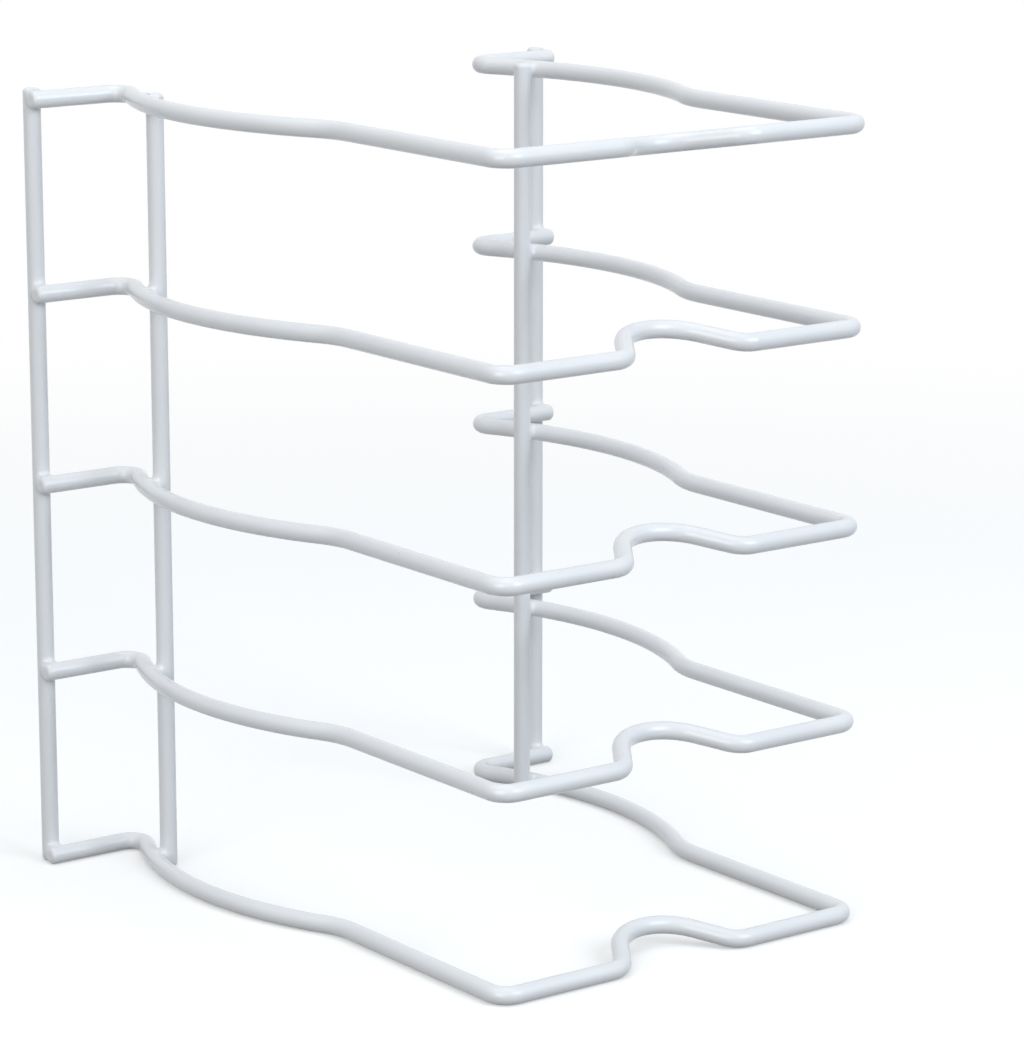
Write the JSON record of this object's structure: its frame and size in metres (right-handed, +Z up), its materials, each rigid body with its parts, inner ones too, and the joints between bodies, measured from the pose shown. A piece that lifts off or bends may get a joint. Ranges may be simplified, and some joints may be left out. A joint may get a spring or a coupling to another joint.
{
  "type": "pot lid rack",
  "caption": "Free-standing coated wire rack that stores pot lids flat, one above another, on open tiers with a handle notch in each front rail.",
  "frame": {"origin": "centre of the rack's footprint, on the surface it stands on", "axes": "+X towards the right post as seen from the front, +Y towards the posts at the back, +Z up along the posts"},
  "size_m": [0.219, 0.225, 0.2705],
  "materials": {
    "coated_wire": "gloss"
  },
  "bodies": {
    "root": {"tier_1": "coated_wire", "tier_2": "coated_wire", "tier_3": "coated_wire", "tier_4": "coated_wire", "tier_5": "coated_wire", "post_inner_left": "coated_wire", "post_inner_right": "coated_wire", "post_outer_left": "coated_wire", "post_outer_right": "coated_wire"}
  },
  "joints": []
}
